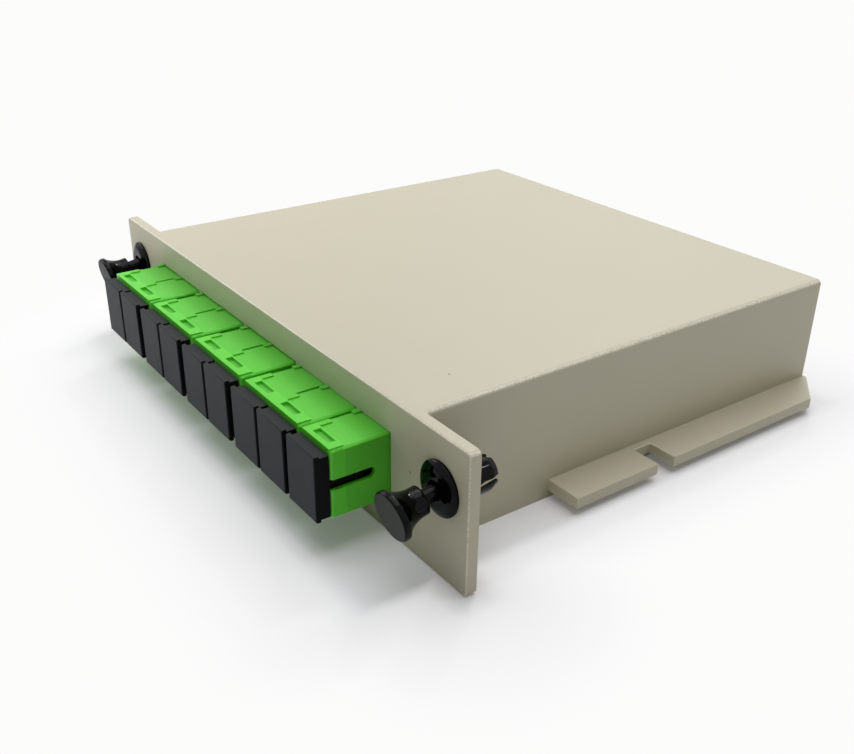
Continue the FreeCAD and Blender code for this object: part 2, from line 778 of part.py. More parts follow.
def dust_cap():
    """A push-in dust cap: a lip, a stepped head and a hollow plug for the port."""
    body = new_body("dust_cap")
    half = "(cell_width / 2 - cap_inset)"
    lip = prism(body, "Pad", "lip", "XZ_Plane", f"-{CAP_REACH}", "cap_lip", lambda sketch: rectangle(
        sketch, f"-{half}", "-cap_height / 2", half, "cap_height / 2"))
    front = size(f"-{CAP_REACH}")
    dress(body, "Fillet", "lip_edges", lip, lambda edge: lies(edge, y=front), "cap_edge")
    head_back = "(-adapter_reach - cap_gap)"
    prism(body, "Pad", "head", "XZ_Plane", f"cap_lip - {CAP_REACH}", "cap_head", lambda sketch: rectangle(
        sketch, f"-{half}", "cap_step - cap_height / 2", half, "cap_height / 2 - cap_step"))
    plug_half = f"({HOOK_LEVEL} - cap_hook_gap)"
    prism(body, "Pad", "plug", "XZ_Plane", head_back, "cap_plug_length", lambda sketch: rectangle(
        sketch, "cap_plug_play - port_width / 2", f"-{plug_half}",
        "port_width / 2 - cap_plug_play", plug_half))
    floor = f"(cap_wall - {CAP_REACH})"
    prism(body, "Pocket", "hollow", "XZ_Plane", floor, f"{head_back} + cap_plug_length - {floor}",
          lambda sketch: circle(sketch, "0", "0", f"{BARREL_RADIUS} + cap_barrel_gap"))
    return body


# Plugs inside the box

def inner_plug():
    """The plug that sits in the rear of a port, with slots for the latch arms."""
    half_width = "(port_width / 2 - grip_play)"
    half_height = "(port_height / 2 - grip_rise_gap)"
    grip = block("plug_grip", f"-{half_width}", half_width, GRIP_START, GRIP_END,
                 f"-{half_height}", half_height)
    key = block("plug_key", "0", "port_width / 2 + key_rise", "adapter_rear - key_reach + key_width",
                "adapter_rear + key_reach", "key_play - key_width / 2", "key_width / 2 - key_play")
    solid = document.addObject("Part::MultiFuse", "plug_solid")
    solid.Shapes = [grip, key]
    half_slot = "(arm_width / 2 + grip_slot_play)"
    slot_end = f"{GRIP_START} + grip_slot_length"
    slot_floor = f"({HOOK_LEVEL} - grip_hook_gap)"
    upper = block("plug_upper_slot", f"-{half_slot}", half_slot, GRIP_START, slot_end,
                  slot_floor, "port_height")
    lower = block("plug_lower_slot", f"-{half_slot}", half_slot, GRIP_START, slot_end,
                  "-port_height", f"-{slot_floor}")
    bore = rod("plug_bore", f"{BARREL_RADIUS} + grip_barrel_gap", GRIP_START, GRIP_FLOOR)
    return cut("inner_plug", solid, [upper, lower, bore])


def ferrules():
    """The nine ferrules, each from the middle of its sleeve to the floor of its plug's bore."""
    ferrule = rod("ferrule", "ferrule_radius", f"{MIDDLE} + ferrule_gap", GRIP_FLOOR)
    return finish(group("ferrules", in_every_port(ferrule)), "ferrules", "0", "0", "port_level")


def strain_boots():
    """The nine short boots behind the inner plugs, where the fibres enter."""
    boot = rod("boot", "boot_radius", GRIP_END, BOOT_END)
    return finish(group("strain_boots", in_every_port(boot)), "strain_boots", "0", "0", "port_level")


# Splitter module and fibres

def splitter_module():
    """The sealed splitter in its metal tube."""
    case = block("module_block", "-module_left", "module_length - module_left",
                 f"{MODULE_PLACE} - module_depth / 2", f"{MODULE_PLACE} + module_depth / 2",
                 "-module_height / 2", "module_height / 2")
    document.recompute()
    long_edges = [n for n, edge in enumerate(case.Shape.Edges, start=1)
                  if edge.BoundBox.XLength > size("module_length") - NEAR]
    tube = document.addObject("Part::Fillet", "splitter_module")
    tube.Base = case
    tube.Edges = [(n, size("module_edge"), size("module_edge")) for n in long_edges]
    return finish(tube, "splitter_module", "0", "0", "port_level")


def module_seals():
    """The soft plugs in both ends of the module's tube."""
    depth = "(module_depth / 2 - seal_inset)"
    height = "(module_height / 2 - seal_inset)"
    left = "(-module_left - seal_length)"
    right = "(module_length - module_left)"
    items = [block(f"seal_{name}", start, f"{start} + seal_length", f"{MODULE_PLACE} - {depth}",
                   f"{MODULE_PLACE} + {depth}", f"-{height}", height)
             for name, start in (("left", left), ("right", right))]
    return finish(group("module_seals", items), "module_seals", "0", "0", "port_level")


def fibre_along(points, first_bend):
    """A six-sided strand, plain because it is shut in, along straight runs that tangent arcs join."""
    edges = []
    start = points[0]
    lengths = [(after - before).Length for before, after in zip(points, points[1:])]
    shares = [END_SHARE] + [RUN_SHARE] * (len(lengths) - 2) + [END_SHARE]
    room = [length * share for length, share in zip(lengths, shares)]
    for index in range(1, len(points) - 1):
        corner = points[index]
        toward = (points[index - 1] - corner).normalize()
        away = (points[index + 1] - corner).normalize()
        half_angle = toward.getAngle(away) / 2
        trim = first_bend if index == 1 else min(room[index - 1], room[index])
        radius = trim * math.tan(half_angle)
        bend_radii.append(radius)
        bisector = (toward + away).normalize()
        centre = corner + bisector * (radius / math.sin(half_angle))
        first, middle, last = corner + toward * trim, centre - bisector * radius, corner + away * trim
        edges.append(Part.LineSegment(start, first).toShape())
        edges.append(Part.Arc(first, middle, last).toShape())
        start = last
    edges.append(Part.LineSegment(start, points[-1]).toShape())
    path = Part.Wire(edges)
    radius = size("fibre_radius")
    sideways = (points[1] - points[0]).normalize().cross(Vector(0, 0, 1))
    turns = [math.radians(60 * step) for step in range(7)]
    rim = [points[0] + (sideways * math.cos(turn) + Vector(0, 0, 1) * math.sin(turn)) * radius
           for turn in turns]
    section = Part.makePolygon(rim)
    strand = path.makePipeShell([section], True, False)
    expected = Part.Face(section).Area * path.Length
    if abs(strand.Volume - expected) > expected / 100:
        raise RuntimeError("a fibre's volume differs from its section times its length")
    return strand


def fibre(label, points, first_bend):
    """One fibre, held at both ends and laid flat at the level of the ports."""
    item = document.addObject("Part::Feature", label)
    item.Shape = fibre_along(points, first_bend)
    return finish(item, label, "0", "0", "port_level")


def fibres():
    inside, place = size(BOOT_END), size(MODULE_PLACE)
    entry, module_start = size(PORTS[0]), size("-module_left - seal_length")
    fibre("input_fibre", [
        Vector(entry, inside, 0),
        Vector(entry, place, 0),
        Vector(module_start, place, 0),
    ], END_SHARE * (module_start - entry))
    pitch, module_end, inner_bend = size("fibre_pitch"), size(MODULE_END), size(INNER_BEND)
    turn = place - size("fibre_fall")
    drop = turn - size("fibre_slant")
    for step, port in enumerate(reversed(PORTS[1:])):
        across = size(port)
        side = size(BUNDLE_SIDE) - step * pitch
        level = place + ((OUTPUTS - 1) / 2 - step) * pitch
        fibre(f"output_fibre_{OUTPUTS - step}", [
            Vector(module_end, level, 0),
            Vector(side, level, 0),
            Vector(side, turn + step * pitch, 0),
            Vector(across, drop + step * pitch, 0),
            Vector(across, inside, 0),
        ], inner_bend + (OUTPUTS - 1 - step) * pitch)


# Push-pull latches

def latch_grommet():
    """The fixed half of a latch: a domed flange and a shank that four slots split into legs."""
    body = new_body("latch_grommet")
    turning(body, "Revolution", "grommet_blank", [
        (NECK_BORE, "-flange_thick"),
        ("boss_radius", "-flange_thick", FLANGE_ROUND, 1),
        ("flange_radius", "-flange_rim"),
        ("flange_radius", "0"),
        ("leg_radius", "0"),
        ("leg_radius", "plate_thick + latch_gap"),
        ("leg_radius + leg_bump", "plate_thick + latch_gap"),
        ("leg_radius", "plate_thick + latch_gap + leg_bump_length"),
        ("leg_radius", "leg_reach - leg_taper"),
        ("leg_tip", "leg_reach"),
        ("leg_tip - leg_wall", "leg_reach"),
        (LEG_BORE, BORE_END),
        (LEG_BORE, "neck_length"),
        (NECK_BORE, "neck_length"),
    ])
    slot_start = "(plate_thick / 2)"
    across = "(2 * leg_radius)"
    for name, wide, tall in (("upright", "leg_slot / 2", across), ("level", across, "leg_slot / 2")):
        prism(body, "Pocket", f"{name}_slot", "XZ_Plane", slot_start, f"leg_reach - {slot_start}",
              lambda sketch: rectangle(sketch, f"-{wide}", f"-{tall}", wide, tall))
    return body


def latch_plunger():
    """The sliding half of a latch about the place where it rocks: a flared knob on a headed stem."""
    body = new_body("latch_plunger")
    face = f"(-knob_reach - {PIVOT})"
    turning(body, "Revolution", "plunger_blank", [
        ("0", face),
        ("knob_radius - knob_round", face, "knob_round", 1),
        ("knob_radius", f"{face} + knob_round"),
        ("knob_radius", f"{face} + knob_rim", "flare_radius", -1),
        ("collar_radius", f"{COLLAR_BACK} - collar_length"),
        ("collar_radius", COLLAR_BACK),
        ("stem_radius", COLLAR_BACK),
        ("stem_radius", HEAD_START),
        ("stem_head", HEAD_START),
        ("stem_head", HEAD_END),
        ("stem_point", STEM_END),
        ("0", STEM_END),
    ])
    return body


# Build every sub-part, what repeats once and then as copies in their places

housing_shell()
bottom_cover()
cover_screws()
duplex_adapter = adapter("duplex_adapter", [("-cell_width", "0"), ("0", "cell_width")])
for index in range(DUPLEX_COUNT):
    label = f"duplex_adapter_{index + 1}"
    finish(copy_of(duplex_adapter, label), label, duplex_centre(index), "0", "port_level")
finish(adapter("single_adapter", [("-single_width / 2", "single_width / 2")]), "single_adapter",
       SINGLE_CENTRE, "0", "port_level")
insert, cap, plug = latch_insert(), dust_cap(), inner_plug()
for index, port_centre in enumerate(PORTS, start=1):
    for source, name, back in (
            (insert, "latch_insert", MIDDLE), (cap, "dust_cap", "0"), (plug, "inner_plug", "0")):
        label = f"{name}_{index}"
        finish(copy_of(source, label), label, port_centre, back, "port_level")
split_sleeves()
ferrules()
strain_boots()
splitter_module()
module_seals()
fibres()
grommet, plunger = latch_grommet(), latch_plunger()
for side_name, side_sign in (("left", "-"), ("right", "+")):
    place = f"{side_sign}{LATCH_PLACE}"
    label = f"{side_name}_latch_grommet"
    finish(copy_of(grommet, label), label, place, "0", "latch_level")
    label = f"{side_name}_latch_plunger"
    drooping(finish(copy_of(plunger, label), label, place, PIVOT, "latch_level"))

document.recompute()

# Refuse anything broken before writing

for item in document.Objects:
    if "Invalid" in item.State or "Error" in item.State:
        raise RuntimeError(f"{item.Label} did not compute: {item.State}")
    if item.TypeId in ("PartDesign::Pocket", "PartDesign::Groove"):
        if item.BaseFeature.Shape.Volume - item.Shape.Volume < LEAST_CUT:
            raise RuntimeError(f"{item.Label} cuts nothing")

os.makedirs("parts", exist_ok=True)
for item in sub_parts:
    if item.Shape.isNull() or not item.Shape.isValid():
        raise RuntimeError(f"{item.Label} has no valid shape")
    item.Shape.exportStep(f"parts/{item.Label}.step")
print(f"{len(sub_parts)} sub-parts written, least bend radius of a fibre {min(bend_radii):.1f} mm")
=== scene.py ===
import json
import math

import bmesh
import bpy
from mathutils import Matrix, Vector


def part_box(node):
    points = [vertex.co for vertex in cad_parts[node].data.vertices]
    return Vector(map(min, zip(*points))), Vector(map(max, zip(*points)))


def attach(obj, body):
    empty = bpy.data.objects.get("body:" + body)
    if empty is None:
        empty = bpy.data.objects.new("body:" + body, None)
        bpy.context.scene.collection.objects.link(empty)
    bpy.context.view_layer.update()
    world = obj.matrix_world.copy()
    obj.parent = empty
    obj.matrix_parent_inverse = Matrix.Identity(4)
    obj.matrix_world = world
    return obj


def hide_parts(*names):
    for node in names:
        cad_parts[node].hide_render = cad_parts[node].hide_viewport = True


# The looks of a plug-in fibre splitter cassette: moulded edges, plastic, ceramic and steel
# finishes, a pale studio floor, soft light from behind and the photograph's camera.

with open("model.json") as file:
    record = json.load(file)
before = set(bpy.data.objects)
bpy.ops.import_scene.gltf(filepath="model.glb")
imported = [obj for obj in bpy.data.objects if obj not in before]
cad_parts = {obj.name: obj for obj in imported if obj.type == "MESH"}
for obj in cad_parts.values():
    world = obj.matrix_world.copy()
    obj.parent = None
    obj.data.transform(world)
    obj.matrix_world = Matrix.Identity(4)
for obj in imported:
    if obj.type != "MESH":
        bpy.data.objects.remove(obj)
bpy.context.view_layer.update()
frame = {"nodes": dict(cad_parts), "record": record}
scene = bpy.context.scene

MM = 0.001
NODES = frame["nodes"]
SLOT_OF = {part["node"]: part["material_slot"] for part in frame["record"]["subparts"]}
BODY_OF = {node: body for body, nodes in frame["record"]["behaviour"]["bodies"].items() for node in nodes}

# The raised band along the adapters' front ends at BAND_BACK. The blank marking fields sunk in it
# lie between FIELD_FRONT and FIELD_BACK, with their floor at FIELD_LEVEL. FIELD_LEFT and
# SECOND_FIELD_LEFT are their distances from the left side of an adapter.
BAND_BACK = -51.3 * MM
FIELD_FRONT, FIELD_BACK, FIELD_LEVEL = -53.0 * MM, -51.65 * MM, 18.85 * MM
FIELD_LEFT, SECOND_FIELD_LEFT, FIELD_WIDTH = 2.15 * MM, 11.3 * MM, 4.7 * MM
FIELD_SLACK = 0.1 * MM


# Shader values

class Signal:
    """A shader socket with arithmetic: each operation adds a Math node to its tree."""

    def __init__(self, tree, socket):
        self.tree = tree
        self.socket = socket

    def math(self, operation, *others):
        return add_node(self.tree, "ShaderNodeMath", {"operation": operation},
                        dict(enumerate((self, *others))))

    def __add__(self, other):
        return self.math("ADD", other)

    def __mul__(self, other):
        return self.math("MULTIPLY", other)

    def __sub__(self, other):
        return self.math("SUBTRACT", other)

    def __rsub__(self, other):
        return add_node(self.tree, "ShaderNodeMath", {"operation": "SUBTRACT"}, {0: other, 1: self})

    def __gt__(self, other):
        return self.math("GREATER_THAN", other)

    def __lt__(self, other):
        return self.math("LESS_THAN", other)

    __radd__ = __add__
    __rmul__ = __mul__


def add_node(tree, kind, settings, inputs, output=0):
    """Add a node, give it its settings, fill its sockets with values or links, and return one output.

    An output node has none to return, and is added with output None.
    """
    node = tree.nodes.new(kind)
    for name, value in settings.items():
        if name == "stops":
            ramp = node.color_ramp.elements
            while len(ramp) < len(value):
                ramp.new(0.5)
            for stop, (place, colour) in zip(ramp, value):
                stop.position = place
                stop.color = (*colour, 1) if hasattr(colour, "__len__") else (colour, colour, colour, 1)
        else:
            setattr(node, name, value)
    for name, value in inputs.items():
        if isinstance(value, Signal):
            tree.links.new(value.socket, node.inputs[name])
        else:
            node.inputs[name].default_value = value
    return None if output is None else Signal(tree, node.outputs[output])


class Finish:
    """A material made of one Principled shader, with the helpers that its textures need."""

    def __init__(self, name, **constants):
        self.material = bpy.data.materials.new(name)
        self.material.use_nodes = True
        self.tree = self.material.node_tree
        self.shader = self.tree.nodes["Principled BSDF"]
        for socket, value in constants.items():
            self.shader.inputs[socket.replace("_", " ")].default_value = value
        self.place = self.node("ShaderNodeTexCoord", {}, {}, "Object")

    def node(self, kind, settings, inputs, output=0):
        return add_node(self.tree, kind, settings, inputs, output)

    def noise(self, size, detail, roughness=0.5):
        """Noise whose features are about size metres across, from 0 to 1 around 0.5."""
        return self.node("ShaderNodeTexNoise", {}, {
            "Vector": self.place, "Scale": 1 / size, "Detail": detail, "Roughness": roughness})

    def ramp(self, value, *stops):
        return self.node("ShaderNodeValToRGB", {"stops": stops}, {"Fac": value})

    def blend(self, share, first, second):
        """The first colour turning into the second as share goes from 0 to 1."""
        return self.node("ShaderNodeMix", {"data_type": "RGBA"}, {0: share, 6: first, 7: second}, 2)

    def along(self, axis):
        """The place along one axis, in metres."""
        return self.node("ShaderNodeSeparateXYZ", {}, {0: self.place}, axis)

    def facing(self, axis):
        """How squarely the surface faces along one axis, from -1 to 1."""
        normal = self.node("ShaderNodeTexCoord", {}, {}, "Normal")
        return self.node("ShaderNodeSeparateXYZ", {}, {0: normal}, axis)

    def bump(self, height, depth):
        """Relief of the given depth in metres."""
        return self.node("ShaderNodeBump", {}, {"Height": height, "Distance": depth, "Strength": 1.0})

    def feed(self, **values):
        """Link values to the shader's sockets, and give back the material."""
        for socket, value in values.items():
            self.tree.links.new(value.socket, self.shader.inputs[socket.replace("_", " ")])
        return self.material


def shade(red, green, blue):
    """A colour written as it looks on a screen, from 0 to 255, as the shader wants it."""
    def linear(level):
        level /= 255
        return level / 12.92 if level <= 0.04045 else ((level + 0.055) / 1.055) ** 2.4
    return (linear(red), linear(green), linear(blue), 1)


def tinted(colour, factor):
    """A brighter or darker form of a colour."""
    return (*(min(1, level * factor) for level in colour[:3]), 1)


# Finishes

# A surface counts as oblique by the largest part of its normal
OBLIQUE = (0.82, 1), (0.94, 0)

# How strongly the highlight painted on a round shows, by its grain, and how rough a round is
HIGHLIGHT_BY_GRAIN = (0.38, 0.3), (0.6, 0.9)
ROUND_GLOSS = 0.2

# How far the grain and the slow drift of a moulded surface spread its roughness
GRAIN_SPREAD, DRIFT_SPREAD = 0.12, 0.06

# A speck's dark core and its rim, as distances from its middle in millimetres, and its darkness
SPECK = (0.16, 0.7), (0.3, 0)

# How much painted shade darkens the green behind the band, toward the faceplate, by the distance in
# centimetres
FACEPLATE_SHADE = (0.1, 0), (0.8, 0.3)


def rounds(finish):
    """1 on the rounds between two square faces, and 0 on the faces."""
    across, deep, high = (finish.facing(axis).math("ABSOLUTE") for axis in "XYZ")
    oblique = finish.ramp(across.math("MAXIMUM", deep).math("MAXIMUM", high), *OBLIQUE)
    return oblique * finish.node("ShaderNodeAttribute", {"attribute_name": "narrow"}, {}, "Fac")


def marking_field(finish):
    """1 on the floor of the small blank field that is sunk in an adapter's front band."""
    deep, high = finish.along("Y"), finish.along("Z")
    between = (deep > FIELD_FRONT) * (deep < FIELD_BACK)
    return between * (high < FIELD_LEVEL + FIELD_SLACK) * (finish.facing("Z") > 0.5)


def specks(finish, places):
    """How dark the small inclusions at the given places are, and 0 elsewhere."""
    nearest, *others = (
        finish.node("ShaderNodeVectorMath", {"operation": "DISTANCE"}, {0: finish.place, 1: place}, "Value")
        for place in places)
    for distance in others:
        nearest = nearest.math("MINIMUM", distance)
    return finish.ramp(nearest * (1 / MM), *SPECK)


def uneven_gloss(fine, drift, gloss):
    """A roughness that strays a little to both sides of gloss, with the grain and the drift."""
    return fine * GRAIN_SPREAD + drift * DRIFT_SPREAD + (gloss - (GRAIN_SPREAD + DRIFT_SPREAD) / 2)


def moulded(name, colour, grain, depth, gloss, uneven=0.03, inclusions=(), edges=None, **constants):
    """Moulded plastic: a colour that drifts a little, fine grain, and smoother rounds with a painted
    highlight.
    """
    finish = Finish(name, **constants)
    drift = finish.noise(14 * MM, 3)
    fine = finish.noise(grain, 3, 0.6)
    base = finish.blend(drift, tinted(colour, 1 - uneven), tinted(colour, 1 + uneven))
    rough = uneven_gloss(fine, drift, gloss)
    if edges:
        on_round = rounds(finish)
        # Painted highlight: the rounds' colour is blended toward the pale edges colour by their grain;
        # their lower roughness is real.
        base = finish.blend(on_round * finish.ramp(fine, *HIGHLIGHT_BY_GRAIN), base, edges)
        rough = rough - on_round * (gloss - ROUND_GLOSS)
    if inclusions:
        base = finish.blend(specks(finish, inclusions), base, tinted(colour, 0.25))
    return finish.feed(Base_Color=base, Roughness=rough, Normal=finish.bump(fine, depth))


def adapter_green(name):
    """Glossy green plastic, with painted light: a front band painted brighter, painted shade deepening
    toward the faceplate, a painted highlight on the rounds, and sunk fields with painted shade on their
    floors.
    """
    finish = Finish(name, Specular_IOR_Level=0.4)
    green = shade(86, 197, 42)
    drift = finish.noise(9 * MM, 3)
    fine = finish.noise(0.25 * MM, 3, 0.6)
    deep = finish.along("Y")
    base = finish.blend(drift, tinted(green, 0.95), tinted(green, 1.05))
    behind_band = (deep - BAND_BACK) * 100
    # Painted light: the green in front of the band's back is painted brighter, as on the lit raised band.
    base = finish.blend((deep < BAND_BACK) * 0.5, base, tinted(green, 1.3))
    # Painted shade: the green darkens behind the band toward the faceplate.
    base = finish.blend(finish.ramp(behind_band, *FACEPLATE_SHADE), base, tinted(green, 0.3))
    # Painted highlight: the rounds are painted paler green.
    base = finish.blend(rounds(finish) * 0.25, base, tinted(green, 1.9))
    # Painted shade: the sunk fields' floors are painted darker green.
    base = finish.blend(marking_field(finish) * 0.4, base, tinted(green, 0.3))
    return finish.feed(Base_Color=base, Roughness=uneven_gloss(fine, drift, 0.36),
                       Normal=finish.bump(fine, 0.006 * MM))


def black_cap(name):
    """Satin black plastic painted in tones by facing: painted light on the front and top, with grain, and
    painted shade on the near-black sides.
    """
    finish = Finish(name, Specular_IOR_Level=0.08)
    # Painted light and shade: the front and top are painted grey as lit, and the sides near black as
    # shaded.
    side = finish.ramp(finish.facing("X").math("ABSOLUTE"), (0.3, 0), (0.7, 1))
    top = finish.ramp(finish.facing("Z"), (0.1, 0), (0.9, 1))
    grain = finish.noise(0.3 * MM, 3, 0.6)
    drift = finish.noise(5 * MM, 2)
    lit_front_tone = finish.blend(drift, shade(53, 55, 57), shade(61, 63, 66))
    base = finish.blend(side, finish.blend(top, lit_front_tone, shade(45, 46, 46)), shade(12, 14, 13))
    return finish.feed(Base_Color=base, Roughness=grain * 0.1 + 0.45,
                       Normal=finish.bump(grain * (1 - side), 0.012 * MM))


def latch_black(name, disc):
    """Polished black plastic; the front disc of a knob is duller, and its grey is a painted sheen."""
    finish = Finish(name, Specular_IOR_Level=0.1)
    grain = finish.noise(0.4 * MM, 3, 0.6)
    if not disc:
        return finish.feed(Base_Color=finish.blend(grain, shade(2, 3, 3), shade(5, 6, 6)),
                           Roughness=grain * 0.04 + 0.05, Normal=finish.bump(grain, 0.001 * MM))
    # Painted sheen: the knob's front disc is painted grey; its higher roughness is real.
    front = finish.ramp(finish.facing("Y") * -1, (0.93, 0), (0.97, 1))
    base = finish.blend(front, shade(4, 5, 5), shade(62, 65, 61))
    return finish.feed(Base_Color=base, Roughness=front * 0.44 + grain * 0.04 + 0.05,
                       Normal=finish.bump(grain * front, 0.006 * MM))


# A speck on the box's top and one on the faceplate, and the cream of the highlight painted on the rounds
HOUSING_SPECKS = ((43.2 * MM, -30.7 * MM, 25 * MM), (50.4 * MM, -43.25 * MM, 14.7 * MM))
ROUND_HIGHLIGHT = shade(246, 238, 216)

MATERIALS = {
    "housing": moulded("housing_plastic", shade(197, 190, 165), 0.35 * MM, 0.02 * MM, 0.46, uneven=0.02,
                       inclusions=HOUSING_SPECKS, edges=ROUND_HIGHLIGHT),
    "cover": moulded("cover_plastic", shade(192, 185, 160), 0.35 * MM, 0.02 * MM, 0.5, uneven=0.02,
                     edges=ROUND_HIGHLIGHT),
    "adapter": adapter_green("adapter_plastic"),
    "insert": moulded("insert_plastic", shade(222, 222, 214), 0.25 * MM, 0.004 * MM, 0.42),
    "inner_plug": moulded("plug_plastic", shade(50, 150, 60), 0.25 * MM, 0.006 * MM, 0.4),
    "dust_cap": black_cap("cap_plastic"),
    "grommet": latch_black("latch_plastic", False),
    "plunger": latch_black("knob_plastic", True),
    "sleeve": moulded("sleeve_ceramic", shade(236, 235, 228), 0.3 * MM, 0.001 * MM, 0.16),
    "ferrule": moulded("ferrule_ceramic", shade(238, 237, 232), 0.3 * MM, 0.001 * MM, 0.14),
    "boot": moulded("boot_rubber", shade(44, 130, 54), 0.3 * MM, 0.01 * MM, 0.62),
    "module": moulded("module_steel", shade(190, 190, 188), 0.3 * MM, 0.003 * MM, 0.3, Metallic=1.0),
    "screw": moulded("screw_steel", shade(176, 176, 172), 0.3 * MM, 0.003 * MM, 0.3, Metallic=1.0),
    "seal": moulded("seal_rubber", shade(40, 40, 40), 0.3 * MM, 0.01 * MM, 0.6),
    "fibre": moulded("fibre_tube", shade(228, 230, 232), 0.3 * MM, 0.003 * MM, 0.35),
}


# Moulded edges

# Width of the rounds in millimetres, for each slot that has them
EDGE = {"housing": 0.3, "cover": 0.2, "adapter": 0.12, "dust_cap": 0.06, "grommet": 0.1, "plunger": 0.1,
        "insert": 0.08, "inner_plug": 0.12, "screw": 0.08, "module": 0.1, "seal": 0.2, "boot": 0.15,
        "sleeve": 0.05, "ferrule": 0.06}
SHARP = math.radians(32)  # an edge that bends more than this is rounded
CREASE = math.radians(40)  # an edge that still bends more than this is shaded as a crease
NEAR_FLAT = math.radians(0.6)  # faces that bend less than this are one face
WELD = 1e-7  # corners nearer together than this are one corner
ROUND_WIDTH = 0.8 * MM  # faces narrower than this count as rounds
HEADROOM = 2 * MM  # how far the blocks that sink the marking fields stand above a field's floor


def marking_fields(node):
    """Where the blank marking fields lie on an adapter's front band: one a cell, as (left, right)."""
    case_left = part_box(node)[0][0]
    lefts = [case_left + FIELD_LEFT]
    if node.startswith("duplex"):
        lefts.append(case_left + SECOND_FIELD_LEFT)
    return [(left, left + FIELD_WIDTH) for left in lefts]


def sink_fields(mesh, node):
    """Sink the marking fields into the band's top, and give back the new mesh."""
    form = bmesh.new()
    for left, right in marking_fields(node):
        block = bmesh.ops.create_cube(form, size=1)["verts"]
        for corner in block:
            corner.co.x = right if corner.co.x > 0 else left
            corner.co.y = FIELD_BACK if corner.co.y > 0 else FIELD_FRONT
            corner.co.z = FIELD_LEVEL + HEADROOM if corner.co.z > 0 else FIELD_LEVEL
    blocks = bpy.data.meshes.new("field_blocks")
    form.to_mesh(blocks)
    form.free()
    cutter = bpy.data.objects.new("field_cutter", blocks)
    case = bpy.data.objects.new("field_case", mesh)
    for holder in (cutter, case):
        scene.collection.objects.link(holder)
    cut = case.modifiers.new("fields", "BOOLEAN")
    cut.operation, cut.solver, cut.object = "DIFFERENCE", "EXACT", cutter
    sunk = bpy.data.meshes.new_from_object(case.evaluated_get(bpy.context.evaluated_depsgraph_get()))
    for holder in (cutter, case):
        bpy.data.objects.remove(holder)
    bpy.data.meshes.remove(blocks)
    return sunk


def rounded_copy(node, width):
    """A copy of a CAD solid whose sharp edges have a fine moulded round.

    Only edges whose corners have room for it are rounded, so that no round folds over another.
    """
    mesh = NODES[node].data.copy()
    if SLOT_OF[node] == "adapter":
        mesh = sink_fields(mesh, node)
    mesh.name = f"{node}_form"
    form = bmesh.new()
    form.from_mesh(mesh)
    bmesh.ops.remove_doubles(form, verts=form.verts, dist=WELD)
    bmesh.ops.dissolve_limit(form, angle_limit=NEAR_FLAT, verts=form.verts, edges=form.edges)
    roomy = {corner for corner in form.verts
             if all(edge.calc_length() > 2 * width for edge in corner.link_edges)}
    rounded = [edge for edge in form.edges
               if edge.is_convex and edge.calc_face_angle(0) > SHARP
               and all(corner in roomy for corner in edge.verts)]
    bmesh.ops.bevel(form, geom=rounded, offset=width, offset_type="OFFSET", segments=2, profile=0.5,
                    affect="EDGES", clamp_overlap=False)
    for edge in form.edges:
        edge.smooth = edge.calc_face_angle(0) < CREASE
    narrow = form.faces.layers.float.new("narrow")
    for face in form.faces:
        face[narrow] = face.calc_area() < ROUND_WIDTH * max(edge.calc_length() for edge in face.edges)
    form.to_mesh(mesh)
    form.free()
    for face in mesh.polygons:
        face.use_smooth = True
    piece = bpy.data.objects.new(f"{node}_moulded", mesh)
    scene.collection.objects.link(piece)
    weighted = piece.modifiers.new("flat faces", "WEIGHTED_NORMAL")
    weighted.keep_sharp = True
    return piece


def finish_nodes():
    """Give every CAD solid its finish, and the ones with sharp moulded edges their rounds."""
    for node, slot in SLOT_OF.items():
        if slot in EDGE:
            piece = rounded_copy(node, EDGE[slot] * MM)
            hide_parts(node)
            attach(piece, BODY_OF[node])
        else:
            piece = NODES[node]
        piece.data.materials.clear()
        piece.data.materials.append(MATERIALS[slot])


finish_nodes()


# Studio

FLOOR_SIZE = 6.0
PAPER = (0.9, 0.89, 0.885, 1)
PAPER_WHITE = (0.975, 0.97, 0.968, 1)
DIM = (0.09, 0.1, 0.09, 1)

# The floor keeps the shadow near these rectangles and turns white away from them. Each has a near
# corner, a far corner, and how fast the shadow fades past the far sides.
BOX_PATCH = ((-0.058, -0.056, 0), (0.058, 0.056, 0), (1.6, 1, 0))
PLATE_PATCH = ((-0.0655, -0.0437, 0), (0.0655, -0.0407, 0), (1, 1, 0))
# How white the camera sees the floor, by the distance from them in metres
WHITENESS = ((0, 0.1), (0.003, 0.46), (0.01, 0.6), (0.017, 0.78), (0.025, 1))


def outside(place, near, far, fade):
    """How far a place lies outside a rectangle on the floor, with the far sides' distance scaled."""
    def vector(operation, *inputs, output=0):
        return add_node(place.tree, "ShaderNodeVectorMath", {"operation": operation},
                        dict(enumerate(inputs)), output)
    past = vector("MAXIMUM", vector("SUBTRACT", place, far), (0, 0, 0))
    short = vector("MAXIMUM", vector("SUBTRACT", near, place), (0, 0, 0))
    return vector("LENGTH", vector("MULTIPLY_ADD", past, fade, short), output="Value")


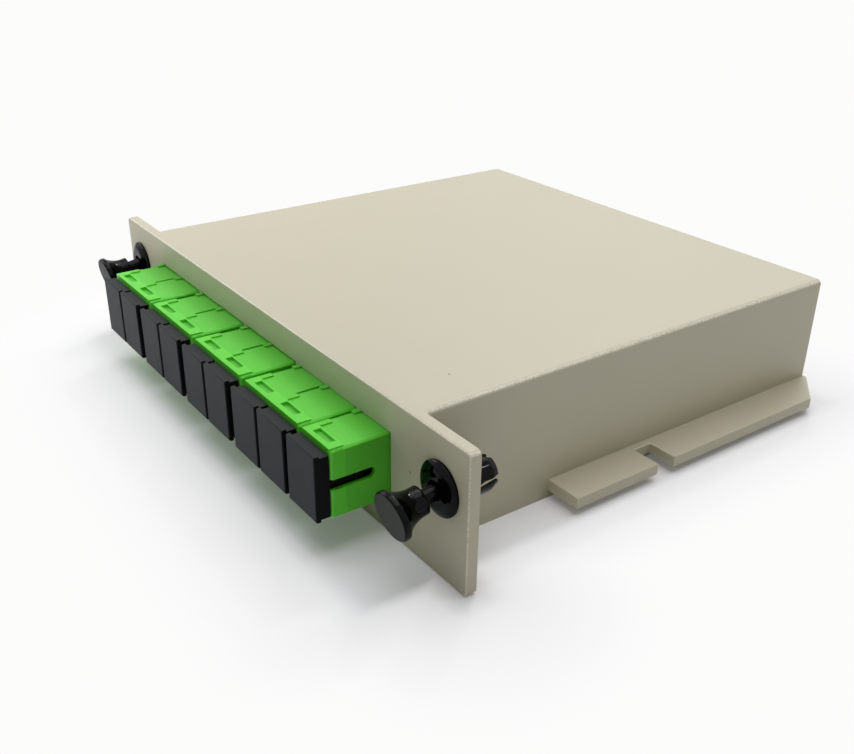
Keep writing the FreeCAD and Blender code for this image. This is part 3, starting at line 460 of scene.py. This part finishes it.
def floor():
    """A pale floor. The camera sees it turn to plain white away from the cassette."""
    mesh = bpy.data.meshes.new("floor")
    half = FLOOR_SIZE / 2
    corners = [(-half, -half, 0), (half, -half, 0), (half, half, 0), (-half, half, 0)]
    mesh.from_pydata(corners, [], [(0, 1, 2, 3)])
    piece = bpy.data.objects.new("floor", mesh)
    scene.collection.objects.link(piece)
    material = bpy.data.materials.new("floor_paper")
    material.use_nodes = True
    tree = material.node_tree
    tree.nodes.clear()
    place = add_node(tree, "ShaderNodeTexCoord", {}, {}, "Object")
    away = outside(place, *BOX_PATCH).math("MINIMUM", outside(place, *PLATE_PATCH))
    whiteness = add_node(tree, "ShaderNodeValToRGB", {"stops": WHITENESS}, {"Fac": away})
    seen = add_node(tree, "ShaderNodeLightPath", {}, {}, "Is Camera Ray")
    paper = add_node(tree, "ShaderNodeBsdfDiffuse", {}, {"Color": PAPER})
    white = add_node(tree, "ShaderNodeEmission", {}, {"Color": PAPER_WHITE})
    mixed = add_node(tree, "ShaderNodeMixShader", {}, {0: seen * whiteness, 1: paper, 2: white})
    add_node(tree, "ShaderNodeOutputMaterial", {}, {"Surface": mixed}, None)
    mesh.materials.append(material)


def surroundings():
    """White to the camera and in gloss, and a dim even light on everything else."""
    world = bpy.data.worlds.new("surroundings")
    scene.world = world
    world.use_nodes = True
    tree = world.node_tree
    tree.nodes.clear()
    seen, glossy, through = (add_node(tree, "ShaderNodeLightPath", {}, {}, ray)
                             for ray in ("Is Camera Ray", "Is Glossy Ray", "Is Transmission Ray"))
    bright = seen.math("MAXIMUM", glossy).math("MAXIMUM", through)
    dim = add_node(tree, "ShaderNodeBackground", {}, {"Color": DIM})
    white = add_node(tree, "ShaderNodeBackground", {}, {"Color": PAPER_WHITE})
    mixed = add_node(tree, "ShaderNodeMixShader", {}, {0: bright, 1: dim, 2: white})
    add_node(tree, "ShaderNodeOutputWorld", {}, {"Surface": mixed}, None)


def soft_lamp(name, place, target, width, power, colour=(1, 1, 1)):
    """A square area lamp at a place, turned to its target."""
    lamp = bpy.data.lights.new(name, "AREA")
    lamp.shape = "SQUARE"
    lamp.size = width
    lamp.energy = power
    lamp.color = colour
    holder = bpy.data.objects.new(name, lamp)
    holder.location = place
    holder.rotation_euler = (Vector(target) - Vector(place)).to_track_quat("-Z", "Y").to_euler()
    scene.collection.objects.link(holder)


def studio():
    """The floor, the world and the lamps."""
    floor()
    surroundings()
    soft_lamp("window", (-0.25, 0.45, 0.6), (0, 0, 0), width=0.5, power=1.6)
    soft_lamp("window_glint", (-0.27, 0.4, 0.62), (0.05, -0.05, 0.01), width=0.035, power=0.6)
    soft_lamp("rear_glint", (0.33, 0.4, 0.55), (0.05, 0, 0.02), width=0.06, power=0.35)
    soft_lamp("ceiling", (-0.03, 0.0, 0.85), (0, 0, 0), width=0.8, power=4.6, colour=(0.975, 0.985, 1.07))
    soft_lamp("side_fill", (-0.16, -0.12, 0.12), (-0.06, -0.045, 0.015), width=0.12, power=0.12)


def camera():
    """The photograph's view, from a fit of the faceplate's, box's and rails' corners."""
    place = Vector((156.43, -117.27, 95.87)) * MM
    azimuth, elevation, roll = (math.radians(angle) for angle in (54.536, 26.816, 0.5))
    forward = Vector((-math.sin(azimuth) * math.cos(elevation), math.cos(azimuth) * math.cos(elevation),
                      -math.sin(elevation)))
    level = Vector((math.cos(azimuth), math.sin(azimuth), 0))
    upright = level.cross(forward)
    right = level * math.cos(roll) + upright * math.sin(roll)
    up = right.cross(forward)
    lens = bpy.data.cameras.new("camera")
    lens.lens = 41.848
    lens.sensor_width = 36
    lens.shift_x = 0.00945
    lens.shift_y = 0.00372
    lens.clip_start = 0.01
    holder = bpy.data.objects.new("camera", lens)
    turn = Matrix((right, up, -forward)).transposed()
    holder.matrix_world = Matrix.Translation(place) @ turn.to_4x4()
    scene.collection.objects.link(holder)
    scene.camera = holder


studio()
camera()
scene.view_settings.view_transform = "Standard"
